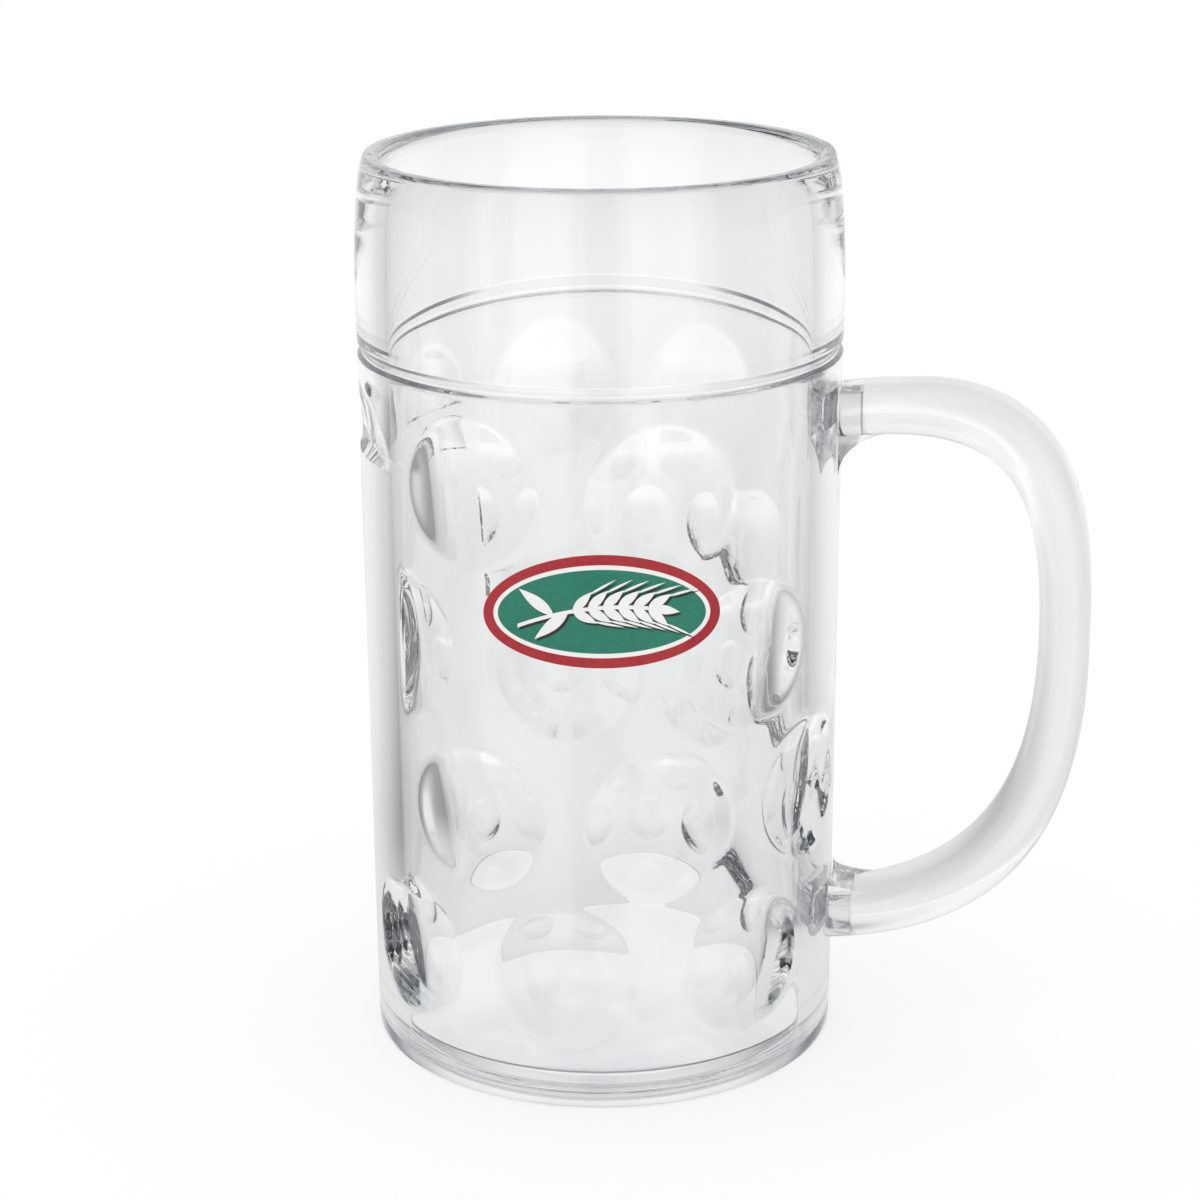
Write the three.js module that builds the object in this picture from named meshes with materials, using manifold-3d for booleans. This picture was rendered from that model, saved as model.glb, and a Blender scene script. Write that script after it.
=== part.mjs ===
// A clear plastic beer mug: a dimpled barrel, a base disc plugged into its foot, and a D handle
// slipped over two pegs on the barrel. Millimetres, +Z up, handle towards +X, front towards -Y.
import * as THREE from "three";
import { mergeVertices } from "three/addons/utils/BufferGeometryUtils.js";
import Module from "manifold-3d";

// Overall form of the barrel
const MUG_HEIGHT = 200;
const FOOT_RADIUS = 52.3;
const RIM_RADIUS = 53;
const WALL = 6.6;

// Drinking rim: the outside crowns over to a narrow flat lip, which is rounded into the bore
const CROWN_HEIGHT = 28;
const CROWN_DROP = 2.8;
const LIP_FLAT = 1.6;
const LIP_ROUND = 2.6;

// Fill-line groove around the outside: a flat floor between two steep flanks
const RIM_BAND = 41.3;
const GROOVE_WIDTH = 3.6;
const GROOVE_FLANK = 0.9;
const GROOVE_DEPTH = 1;

// Dimples: shallow round hollows in staggered rows below the groove
const DIMPLE_DIAMETER = 32;
const DIMPLE_DEPTH = 3.5;
const DIMPLE_CUTTER_REACH = 20;
const DIMPLES_PER_TURN = 8;
const FIRST_ROW_DROP = 22.7;
const ROW_PITCH = 35.5;

// Smooth print panel opposite the handle
const PANEL_WIDTH = 75;
const PANEL_BOTTOM = 41;
const PANEL_HEIGHT = 96;
const PANEL_CORNER = 8;

// Base disc: a flange under the barrel and a spigot that plugs the bore
const FLANGE_THICKNESS = 3.6;
const SPIGOT_HEIGHT = 2.9;
const SPIGOT_CLEARANCE = 0.3;
const EDGE_CHAMFER = 0.6;
const BASE_BOND_THICKNESS = 0.4;
const BASE_BOND_INSET = 0.8;

// Handle: one flattened-round section swept along a D, thicker on the outside of its bends
const HANDLE_THICKNESS = 11;
const HANDLE_WIDTH = 18;
const SECTION_SQUARENESS = 2.6;
const BEND_SWELL = 1.8;
const UPPER_ARM_SWELL = 1;
const LOWER_ARM_SWELL = 0.7;
const FINGER_GAP = 44.4;
const UPPER_ROOT_DROP = 14.2;
const UPPER_ROOT_SLOPE = 0.19;
const LOWER_ROOT_HEIGHT = 28.4;
const LOWER_ROOT_SLOPE = 0.09;
const GRIP_RISE = 8.6;
const UPPER_ARM_PULL = 43.6;
const LOWER_ARM_PULL = 41;
const GRIP_PULL = 35.4;
const UPPER_FILLET = [15, 10];
const LOWER_FILLET = [9, 2.5];
const FILLET_WIDTH = 13;
const SADDLE_GAP = 0.3;

// Pegs on the barrel, and the sockets at the handle's two ends
const PEG_LENGTH = 4.6;
const PEG_ROOTING = 3;
const PEG_CORNER = 2;
const PEG_CLEARANCE = 0.3;
const SOCKET_WALL = 1.2;
const SOCKET_SIDE_WALL = 3;
const PEG_BOND_THICKNESS = 0.4;

// Fineness of the round surfaces
const BARREL_SEGMENTS = 64;
const DIMPLE_SEGMENTS = 24;
const DIMPLE_RINGS = 18;
const SECTION_POINTS = 24;
const HANDLE_STEPS = 48;
const UPPER_SWELL_STEPS = 6;
const FILLET_STEPS = 8;
const CURVE_POINTS = 5;

const wasm = await Module();
wasm.setup();

// Heights and radii worked out from the driving dimensions
const grooveHeight = MUG_HEIGHT - RIM_BAND;
const barrelFoot = FLANGE_THICKNESS + BASE_BOND_THICKNESS;
const floorTop = FLANGE_THICKNESS + SPIGOT_HEIGHT;
const upperRootHeight = grooveHeight - UPPER_ROOT_DROP;
const gripHeight = (upperRootHeight + LOWER_ROOT_HEIGHT) / 2 + GRIP_RISE;
const gripReach = outerRadius(gripHeight) + FINGER_GAP + HANDLE_THICKNESS / 2;
const pegHeight = HANDLE_THICKNESS - 2 * (SOCKET_WALL + PEG_CLEARANCE);
const pegWidth = HANDLE_WIDTH - 2 * (SOCKET_SIDE_WALL + PEG_CLEARANCE);

// Radius of the plain tapered outside at a height
function outerRadius(z) {
  return FOOT_RADIUS + ((RIM_RADIUS - FOOT_RADIUS) * z) / MUG_HEIGHT;
}

// Radius of the smooth bore at a height
function boreRadius(z) {
  return outerRadius(z) - WALL;
}

// A closed geometry as a solid that can be joined and cut
function solidFrom(geometry) {
  const bare = geometry.clone();
  bare.deleteAttribute("normal");
  bare.deleteAttribute("uv");
  const welded = mergeVertices(bare, 1e-4);
  return new wasm.Manifold(
    new wasm.Mesh({
      numProp: 3,
      vertProperties: new Float32Array(welded.attributes.position.array),
      triVerts: new Uint32Array(welded.index.array),
    }),
  );
}

// A solid back as a geometry
function geometryFrom(solid) {
  const mesh = solid.getMesh();
  const geometry = new THREE.BufferGeometry();
  geometry.setAttribute("position", new THREE.BufferAttribute(new Float32Array(mesh.vertProperties), 3));
  geometry.setIndex(new THREE.BufferAttribute(new Uint32Array(mesh.triVerts), 1));
  geometry.computeVertexNormals();
  return geometry;
}

// A profile of [radius, height] points turned around the upright axis
function turned(profile) {
  const points = profile.map(([radius, height]) => new THREE.Vector2(radius, height));
  return new THREE.LatheGeometry(points, BARREL_SEGMENTS).rotateX(Math.PI / 2);
}

// Points of a smooth run from u = 0 to u = 1, both ends included
function run(pointAt) {
  return Array.from({ length: CURVE_POINTS + 1 }, (_, i) => pointAt(i / CURVE_POINTS));
}

// An upright rounded rectangle, width along Y, pushed along +X from a start distance
function roundedBar(width, height, corner, startX, length, centreZ) {
  const shape = new THREE.Shape();
  const x = width / 2 - corner;
  const y = height / 2 - corner;
  shape.absarc(x, y, corner, 0, Math.PI / 2);
  shape.absarc(-x, y, corner, Math.PI / 2, Math.PI);
  shape.absarc(-x, -y, corner, Math.PI, 1.5 * Math.PI);
  shape.absarc(x, -y, corner, 1.5 * Math.PI, 2 * Math.PI);
  const bar = new THREE.ExtrudeGeometry(shape, { depth: length, bevelEnabled: false, curveSegments: 4 });
  const axes = new THREE.Matrix4().makeBasis(
    new THREE.Vector3(0, 1, 0),
    new THREE.Vector3(0, 0, 1),
    new THREE.Vector3(1, 0, 0),
  );
  return bar.applyMatrix4(axes).translate(startX, 0, centreZ);
}

// Height of the peg's middle, following the slope of the arm that slips over it
function pegCentre(rootHeight, slope) {
  return rootHeight + (slope * PEG_LENGTH) / 2;
}

const roots = [
  {
    name: "upper",
    height: upperRootHeight,
    slope: UPPER_ROOT_SLOPE,
    peg: pegCentre(upperRootHeight, UPPER_ROOT_SLOPE),
    inward: -1,
    fillet: UPPER_FILLET,
  },
  {
    name: "lower",
    height: LOWER_ROOT_HEIGHT,
    slope: LOWER_ROOT_SLOPE,
    peg: pegCentre(LOWER_ROOT_HEIGHT, LOWER_ROOT_SLOPE),
    inward: 1,
    fillet: LOWER_FILLET,
  },
];

// Outline of the barrel's wall: up the outside, over the lip and down the bore
function barrelProfile() {
  const crownStart = MUG_HEIGHT - CROWN_HEIGHT;
  const half = GROOVE_WIDTH / 2;
  const groove = [
    [-half, 0],
    [GROOVE_FLANK - half, GROOVE_DEPTH],
    [half - GROOVE_FLANK, GROOVE_DEPTH],
    [half, 0],
  ].map(([rise, depth]) => [outerRadius(grooveHeight + rise) - depth, grooveHeight + rise]);
  const crown = run((u) => {
    const angle = (u * Math.PI) / 2;
    const z = crownStart + CROWN_HEIGHT * Math.sin(angle);
    return [outerRadius(crownStart) - CROWN_DROP * (1 - Math.cos(angle)), z];
  });
  const lipInner = outerRadius(crownStart) - CROWN_DROP - LIP_FLAT;
  const lipStep = lipInner - boreRadius(MUG_HEIGHT - LIP_ROUND);
  const lip = run((u) => {
    const angle = (u * Math.PI) / 2;
    return [lipInner - lipStep * Math.sin(angle), MUG_HEIGHT - LIP_ROUND * (1 - Math.cos(angle))];
  });
  const foot = [outerRadius(barrelFoot), barrelFoot];
  const boreFoot = [boreRadius(barrelFoot), barrelFoot];
  return [foot, ...groove, ...crown, ...lip, boreFoot, foot];
}

// Egg-shaped cutter whose cut in the wall at a height is round, of the dimple's diameter and depth
function dimpleEgg(z) {
  const wall = outerRadius(z);
  const half = DIMPLE_DIAMETER / 2;
  const turn = half / wall;
  const share = (depth) => Math.sqrt(1 - (1 - depth / DIMPLE_CUTTER_REACH) ** 2);
  const rise = half / share(DIMPLE_DEPTH);
  const spread = (wall * Math.sin(turn)) / share(DIMPLE_DEPTH - wall * (1 - Math.cos(turn)));
  return new THREE.SphereGeometry(1, DIMPLE_SEGMENTS, DIMPLE_RINGS)
    .scale(spread, DIMPLE_CUTTER_REACH, rise)
    .translate(0, -(wall + DIMPLE_CUTTER_REACH - DIMPLE_DEPTH), z);
}

// All dimples in one cutter, spared where the print panel stays smooth
function dimpleCutter() {
  const pitch = 360 / DIMPLES_PER_TURN;
  const perHalf = DIMPLES_PER_TURN / 2;
  const topRow = grooveHeight - FIRST_ROW_DROP;
  const lowest = barrelFoot + DIMPLE_DIAMETER / 2;
  const dimples = [];
  for (let row = 0; topRow - row * ROW_PITCH > lowest; row += 1) {
    const egg = solidFrom(dimpleEgg(topRow - row * ROW_PITCH));
    const stagger = row % 2 === 0 ? 0.5 : 0;
    for (let column = 0; column < perHalf; column += 1) {
      const turn = (column - perHalf / 2 + stagger) * pitch;
      const besideUpperRoot = row === 0 && column === perHalf - 1;
      const onPartingPlane = Math.abs(turn) === 90;
      if (besideUpperRoot || onPartingPlane) continue;
      dimples.push(egg.rotate([0, 0, turn]), egg.rotate([0, 0, 180 - turn]));
    }
  }
  const panelLength = 2 * RIM_RADIUS;
  const panelCentre = PANEL_BOTTOM + PANEL_HEIGHT / 2;
  const panel = roundedBar(PANEL_WIDTH, PANEL_HEIGHT, PANEL_CORNER, -panelLength, panelLength, panelCentre);
  return dimples.reduce((all, dimple) => all.add(dimple)).subtract(solidFrom(panel));
}

// Barrel: turned wall with its dimples, and a peg for each end of the handle
function barrel() {
  let solid = solidFrom(turned(barrelProfile())).subtract(dimpleCutter());
  for (const root of roots) {
    const wall = outerRadius(root.peg);
    const length = PEG_ROOTING + PEG_LENGTH;
    const peg = roundedBar(pegWidth, pegHeight, PEG_CORNER, wall - PEG_ROOTING, length, root.peg);
    solid = solid.add(solidFrom(peg));
  }
  return geometryFrom(solid);
}

// Base disc: flange with broken edges, and the spigot whose top is the mug's floor
function baseDisc() {
  const flange = outerRadius(barrelFoot);
  const spigot = boreRadius(barrelFoot) - SPIGOT_CLEARANCE;
  return turned([
    [0, 0],
    [flange - EDGE_CHAMFER, 0],
    [flange, EDGE_CHAMFER],
    [flange, FLANGE_THICKNESS],
    [spigot, FLANGE_THICKNESS],
    [spigot, floorTop - EDGE_CHAMFER],
    [spigot - EDGE_CHAMFER, floorTop],
    [0, floorTop],
  ]);
}

// Ring of cured adhesive between the flange and the barrel's foot
function baseBond() {
  const inner = boreRadius(barrelFoot) + BASE_BOND_INSET;
  const outer = outerRadius(barrelFoot) - BASE_BOND_INSET;
  return turned([
    [inner, FLANGE_THICKNESS],
    [outer, FLANGE_THICKNESS],
    [outer, barrelFoot],
    [inner, barrelFoot],
    [inner, FLANGE_THICKNESS],
  ]);
}

// Flattened-round section of the handle: width across, thickness in the D's plane
function handleSection() {
  const power = 2 / SECTION_SQUARENESS;
  const squared = (value) => Math.sign(value) * Math.abs(value) ** power;
  return Array.from({ length: SECTION_POINTS }, (_, i) => {
    const angle = (2 * Math.PI * i) / SECTION_POINTS;
    return [(HANDLE_WIDTH / 2) * squared(Math.cos(angle)), (HANDLE_THICKNESS / 2) * squared(Math.sin(angle))];
  });
}

// Middle line of the handle: out from the upper root, down the grip and back in to the lower root
function handlePath() {
  const at = (x, z) => new THREE.Vector3(x, 0, z);
  const start = (root) => outerRadius(root.height) - PEG_ROOTING;
  const [upper, lower] = roots;
  const lead = (root, slope) => root.height - slope * PEG_ROOTING;
  const path = new THREE.CurvePath();
  path.add(
    new THREE.CubicBezierCurve3(
      at(start(upper), lead(upper, UPPER_ROOT_SLOPE)),
      at(start(upper) + UPPER_ARM_PULL, lead(upper, UPPER_ROOT_SLOPE) + UPPER_ROOT_SLOPE * UPPER_ARM_PULL),
      at(gripReach, gripHeight + GRIP_PULL),
      at(gripReach, gripHeight),
    ),
  );
  path.add(
    new THREE.CubicBezierCurve3(
      at(gripReach, gripHeight),
      at(gripReach, gripHeight - GRIP_PULL),
      at(start(lower) + LOWER_ARM_PULL, lead(lower, LOWER_ROOT_SLOPE) + LOWER_ROOT_SLOPE * LOWER_ARM_PULL),
      at(start(lower), lead(lower, LOWER_ROOT_SLOPE)),
    ),
  );
  return path;
}

// Rings of the section set along the middle line and closed into a solid form
function handleSweep() {
  const path = handlePath();
  const section = handleSection();
  const rings = Array.from({ length: HANDLE_STEPS + 1 }, (_, step) => {
    const middle = path.getPoint(step / HANDLE_STEPS);
    const ahead = path.getTangent(step / HANDLE_STEPS);
    const bend = 2 * Math.abs(ahead.x * ahead.z);
    const outbound = Math.max(0, ahead.x) ** 4 * Math.min(1, step / UPPER_SWELL_STEPS);
    const homeward = Math.max(0, -ahead.x);
    const swell = BEND_SWELL * bend + UPPER_ARM_SWELL * outbound + LOWER_ARM_SWELL * homeward;
    const stretch = 1 + swell / (HANDLE_THICKNESS / 2);
    return section.map(([across, out]) => {
      const push = out > 0 ? out * stretch : out;
      return [middle.x - ahead.z * push, across, middle.z + ahead.x * push];
    });
  });
  const index = [];
  for (let step = 0; step < HANDLE_STEPS; step += 1) {
    for (let i = 0; i < SECTION_POINTS; i += 1) {
      const a = step * SECTION_POINTS + i;
      const b = step * SECTION_POINTS + ((i + 1) % SECTION_POINTS);
      index.push(a, b, b + SECTION_POINTS, a, b + SECTION_POINTS, a + SECTION_POINTS);
    }
  }
  const last = HANDLE_STEPS * SECTION_POINTS;
  for (let i = 1; i < SECTION_POINTS - 1; i += 1) {
    index.push(0, i + 1, i, last, last + i, last + i + 1);
  }
  const sweep = new THREE.BufferGeometry();
  sweep.setAttribute("position", new THREE.BufferAttribute(new Float32Array(rings.flat(2)), 3));
  sweep.setIndex(index);
  return sweep;
}

// Fillet on the inner side of an arm where it lands on the barrel
function rootFillet(root) {
  const [length, rise] = root.fillet;
  const wall = outerRadius(root.height);
  const flank = root.height + root.inward * (HANDLE_THICKNESS / 2) + root.slope * length;
  const foot = flank + root.inward * rise;
  const arc = Array.from({ length: FILLET_STEPS + 1 }, (_, i) => {
    const turn = (i / FILLET_STEPS) * (Math.PI / 2);
    const x = wall + length - length * Math.cos(turn);
    return new THREE.Vector2(x, foot - root.inward * rise * Math.sin(turn));
  });
  const shape = new THREE.Shape([
    new THREE.Vector2(wall - PEG_ROOTING, root.height),
    new THREE.Vector2(wall - PEG_ROOTING, foot),
    ...arc,
    new THREE.Vector2(wall + length, root.height),
  ]);
  const fillet = new THREE.ExtrudeGeometry(shape, { depth: FILLET_WIDTH, bevelEnabled: false });
  return fillet.rotateX(Math.PI / 2).translate(0, FILLET_WIDTH / 2, 0);
}

// Handle: the swept D, saddled to the barrel's curve and socketed over the pegs
function handle() {
  const envelope = turned([
    [0, 0],
    [outerRadius(0) + SADDLE_GAP, 0],
    [outerRadius(MUG_HEIGHT) + SADDLE_GAP, MUG_HEIGHT],
    [0, MUG_HEIGHT],
  ]);
  let solid = solidFrom(handleSweep());
  roots.forEach((root) => (solid = solid.add(solidFrom(rootFillet(root)))));
  solid = solid.subtract(solidFrom(envelope));
  for (const root of roots) {
    const width = pegWidth + 2 * PEG_CLEARANCE;
    const height = pegHeight + 2 * PEG_CLEARANCE;
    const start = outerRadius(root.peg) - PEG_ROOTING;
    const depth = PEG_ROOTING + PEG_LENGTH + PEG_BOND_THICKNESS;
    const corner = PEG_CORNER + PEG_CLEARANCE;
    solid = solid.subtract(solidFrom(roundedBar(width, height, corner, start, depth, root.peg)));
  }
  return geometryFrom(solid);
}

// Pad of cured adhesive between a peg's end and the bottom of its socket
function pegBond(root) {
  const start = outerRadius(root.peg) + PEG_LENGTH;
  return roundedBar(pegWidth, pegHeight, PEG_CORNER, start, PEG_BOND_THICKNESS, root.peg);
}

// One named mesh in its own clear finish
function piece(name, geometry, colour, roughness) {
  const material = new THREE.MeshStandardMaterial({ color: colour, roughness, metalness: 0 });
  material.transparent = true;
  material.opacity = 0.35;
  const mesh = new THREE.Mesh(geometry, material);
  mesh.name = name;
  return mesh;
}

const CLEAR_PLASTIC = 0xeef2f3;
const CLEAR_BOND = 0xdfe6e6;

const mug = new THREE.Group();
mug.add(piece("barrel", barrel(), CLEAR_PLASTIC, 0.04));
mug.add(piece("base_disc", baseDisc(), CLEAR_PLASTIC, 0.05));
mug.add(piece("base_bond_ring", baseBond(), CLEAR_BOND, 0.15));
mug.add(piece("handle", handle(), CLEAR_PLASTIC, 0.06));
for (const root of roots) {
  mug.add(piece(`${root.name}_peg_bond`, pegBond(root), CLEAR_BOND, 0.15));
}

export default mug;
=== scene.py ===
"""A clear plastic beer mug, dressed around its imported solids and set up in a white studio."""

import logging
import math
from dataclasses import dataclass, field
from enum import Enum
from functools import reduce
from itertools import accumulate, pairwise
from typing import Callable, Iterable, Sequence

import bpy
from mathutils import Matrix, Vector
from mathutils.geometry import interpolate_bezier
from mathutils.kdtree import KDTree

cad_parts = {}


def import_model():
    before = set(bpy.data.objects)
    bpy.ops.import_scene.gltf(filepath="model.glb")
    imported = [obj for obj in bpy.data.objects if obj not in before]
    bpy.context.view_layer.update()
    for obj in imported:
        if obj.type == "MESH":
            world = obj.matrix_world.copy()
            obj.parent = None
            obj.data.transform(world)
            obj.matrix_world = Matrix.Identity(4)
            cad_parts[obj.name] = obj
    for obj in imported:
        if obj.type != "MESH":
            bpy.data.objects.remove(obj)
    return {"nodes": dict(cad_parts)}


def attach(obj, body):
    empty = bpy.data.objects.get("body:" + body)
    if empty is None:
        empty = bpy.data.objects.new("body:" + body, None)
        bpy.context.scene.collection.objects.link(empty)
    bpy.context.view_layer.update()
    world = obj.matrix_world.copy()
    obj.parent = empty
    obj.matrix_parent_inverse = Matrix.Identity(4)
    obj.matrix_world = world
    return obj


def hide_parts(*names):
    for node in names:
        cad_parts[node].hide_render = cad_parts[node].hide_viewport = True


LOG = logging.getLogger("beer_mug")
MM = 0.001
BODY = "root"

Point = tuple[float, float]
Colour = tuple[float, float, float]
Piece = bpy.types.Object
Socket = bpy.types.NodeSocket

# Where the photograph's camera stands: turned towards the handle and looking down, in degrees
VIEW_TURN = 8.8
VIEW_PITCH = 17.727

# Steps that every piece shares: welds in millimetres, angle in degrees
TRACE_WELD = 0.002
SEAM_WELD = 0.004
CORNER_SEGMENTS = 5
SHARP_ANGLE = 38.0

# Results at the start and end of a range that is eased in or out
FROM_NONE = (0.0, 1.0)
TO_NONE = (1.0, 0.0)
# A radius in millimetres that is past every piece
BEYOND = 200.0

UP = Vector((0.0, 0.0, 1.0))
# Stands a slab's plane upright through the handle, with its thickness along Y
UPRIGHT = Matrix(((1, 0, 0, 0), (0, 0, 1, 0), (0, 1, 0, 0), (0, 0, 0, 1)))


class Slot(Enum):
    """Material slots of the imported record."""

    BARREL = "clear_barrel"
    BASE = "clear_base"
    HANDLE = "clear_handle"
    BOND = "cured_bond"


class Join(Enum):
    """Ways of joining or cutting one solid with another."""

    UNION = "UNION"
    DIFFERENCE = "DIFFERENCE"
    INTERSECT = "INTERSECT"


def smoothstep(value: float) -> float:
    """Ease a value from 0 to 1 with flat ends."""
    held = min(max(value, 0.0), 1.0)
    return held * held * (3.0 - 2.0 * held)


def along(count: int, point_at: Callable[[float], Point]) -> list[Point]:
    """Sample a smooth run of an outline.

    Args:
        count: Number of steps along the run.
        point_at: Gives the point at a share from 0 to 1.

    Returns:
        The points, both ends included.
    """
    return [point_at(step / count) for step in range(count + 1)]


def towards(turn: float) -> Vector:
    """Level direction at a turn from the front towards the handle, in degrees."""
    angle = math.radians(turn)
    return Vector((math.sin(angle), -math.cos(angle), 0.0))


def viewer_axes(turn: float, pitch: float) -> tuple[Vector, Vector, Vector]:
    """Work out the axes of a plane that faces a viewer.

    Args:
        turn: Turn from the front towards the handle in degrees.
        pitch: How far the viewer looks down in degrees.

    Returns:
        The directions across, up, and out towards the viewer.
    """
    away, lean = towards(turn), math.radians(pitch)
    across = Vector((-away.y, away.x, 0.0))
    up = UP * math.cos(lean) - away * math.sin(lean)
    return across, up, away * math.cos(lean) + UP * math.sin(lean)


class Bench:
    """The workbench: modelling steps that every piece shares."""

    @staticmethod
    def clear() -> None:
        """Leave nothing selected."""
        if bpy.context.object and bpy.context.object.mode != "OBJECT":
            bpy.ops.object.mode_set(mode="OBJECT")
        bpy.ops.object.select_all(action="DESELECT")

    @staticmethod
    def pick(piece: Piece) -> None:
        """Select one piece alone and make it active.

        Args:
            piece: The piece that is worked on next.
        """
        Bench.clear()
        piece.select_set(True)
        bpy.context.view_layer.objects.active = piece

    @staticmethod
    def settle(piece: Piece) -> None:
        """Put a piece's place, turn and scale into its mesh."""
        Bench.pick(piece)
        bpy.ops.object.transform_apply(location=True, rotation=True, scale=True)

    @staticmethod
    def turned(name: str, outline: Sequence[Point], steps: int) -> Piece:
        """Trace an outline point by point and spin it round the upright axis.

        Args:
            name: Name of the new piece.
            outline: Radius and height of each point in millimetres.
            steps: Number of steps in the full turn.

        Returns:
            The closed turned piece, with its normals outwards.
        """
        Bench.clear()
        radius, height = outline[0]
        bpy.ops.mesh.primitive_plane_add(size=MM, location=(radius * MM, 0.0, height * MM))
        piece = bpy.context.object
        piece.name = name
        Bench.settle(piece)
        bpy.ops.object.mode_set(mode="EDIT")
        bpy.ops.mesh.select_mode(type="VERT")
        bpy.ops.mesh.select_all(action="SELECT")
        bpy.ops.mesh.merge(type="CENTER")
        for (r0, z0), (r1, z1) in pairwise(outline):
            step = ((r1 - r0) * MM, 0.0, (z1 - z0) * MM)
            bpy.ops.mesh.extrude_region_move(TRANSFORM_OT_translate={"value": step})
        bpy.ops.mesh.select_all(action="SELECT")
        bpy.ops.mesh.remove_doubles(threshold=TRACE_WELD * MM)
        bpy.ops.mesh.spin(steps=steps, angle=math.tau, center=(0, 0, 0), axis=(0, 0, 1))
        Bench.close()
        return piece

    @staticmethod
    def close() -> None:
        """Weld the active mesh's seams, turn its faces outwards and leave edit mode."""
        bpy.ops.mesh.select_all(action="SELECT")
        bpy.ops.mesh.remove_doubles(threshold=SEAM_WELD * MM)
        bpy.ops.mesh.normals_make_consistent(inside=False)
        bpy.ops.object.mode_set(mode="OBJECT")

    @staticmethod
    def apply(piece: Piece, kind: str, **settings: object) -> None:
        """Add a modifier with its settings and apply it.

        Args:
            piece: The piece that gets it.
            kind: Blender's name for the modifier type.
            **settings: Values of the modifier's own properties.
        """
        Bench.pick(piece)
        modifier = piece.modifiers.new(kind.lower(), kind)
        for key, value in settings.items():
            setattr(modifier, key, value)
        bpy.ops.object.modifier_apply(modifier=modifier.name)

    @staticmethod
    def join(piece: Piece, tool: Piece, how: Join) -> None:
        """Join or cut a piece with a tool solid, and throw the tool away.

        Args:
            piece: The piece that is kept.
            tool: The solid that is used up.
            how: The kind of join.
        """
        Bench.apply(piece, "BOOLEAN", object=tool, operation=how.value, solver="MANIFOLD")
        bpy.data.objects.remove(tool)

    @staticmethod
    def bar(size: Point, corner: float, start: float, length: float, centre: float) -> Piece:
        """Make a bar along +X whose four long edges are rounded.

        Args:
            size: Sizes along Y and Z.
            corner: Radius of the long edges.
            start: Where the bar begins along X.
            length: Size along X.
            centre: Height of its middle.

        Returns:
            The bar; all sizes are in millimetres.
        """
        Bench.clear()
        bpy.ops.mesh.primitive_cube_add(
            size=1.0,
            location=((start + length / 2) * MM, 0.0, centre * MM),
            scale=(length * MM, size[0] * MM, size[1] * MM),
        )
        piece = bpy.context.object
        Bench.settle(piece)
        for edge in piece.data.edges:
            ends = [piece.data.vertices[i].co for i in edge.vertices]
            edge.select = abs(ends[0].x - ends[1].x) > length * MM / 2
        for face in piece.data.polygons:
            face.select = False
        bpy.context.tool_settings.mesh_select_mode = (False, True, False)
        bpy.ops.object.mode_set(mode="EDIT")
        bpy.ops.mesh.bevel(
            offset=corner * MM, offset_type="OFFSET", segments=CORNER_SEGMENTS, affect="EDGES"
        )
        Bench.close()
        return piece

    @staticmethod
    def slab(outline: Sequence[Point], place: Matrix, depth: float) -> Piece:
        """Cut a flat slab to an outline and push it through both ways.

        Args:
            outline: Corners in millimetres, in order round the slab's own plane.
            place: Sets the slab's plane in the frame; its third axis is the thickness.
            depth: Half the thickness in millimetres.

        Returns:
            The closed slab.
        """
        Bench.clear()
        bpy.ops.mesh.primitive_circle_add(vertices=len(outline), radius=1.0, fill_type="NGON")
        piece = bpy.context.object
        for vertex, (across, up) in zip(piece.data.vertices, outline):
            vertex.co = place @ Vector((across * MM, up * MM, -depth * MM))
        push = place.to_3x3() @ Vector((0.0, 0.0, 2.0 * depth * MM))
        bpy.ops.object.mode_set(mode="EDIT")
        bpy.ops.mesh.select_all(action="SELECT")
        bpy.ops.mesh.extrude_region_move(TRANSFORM_OT_translate={"value": push})
        Bench.close()
        return piece

    @staticmethod
    def smooth(piece: Piece) -> None:
        """Shade a piece smooth, with its real corners kept sharp."""
        Bench.pick(piece)
        bpy.ops.object.shade_smooth_by_angle(angle=math.radians(SHARP_ANGLE))


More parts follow.
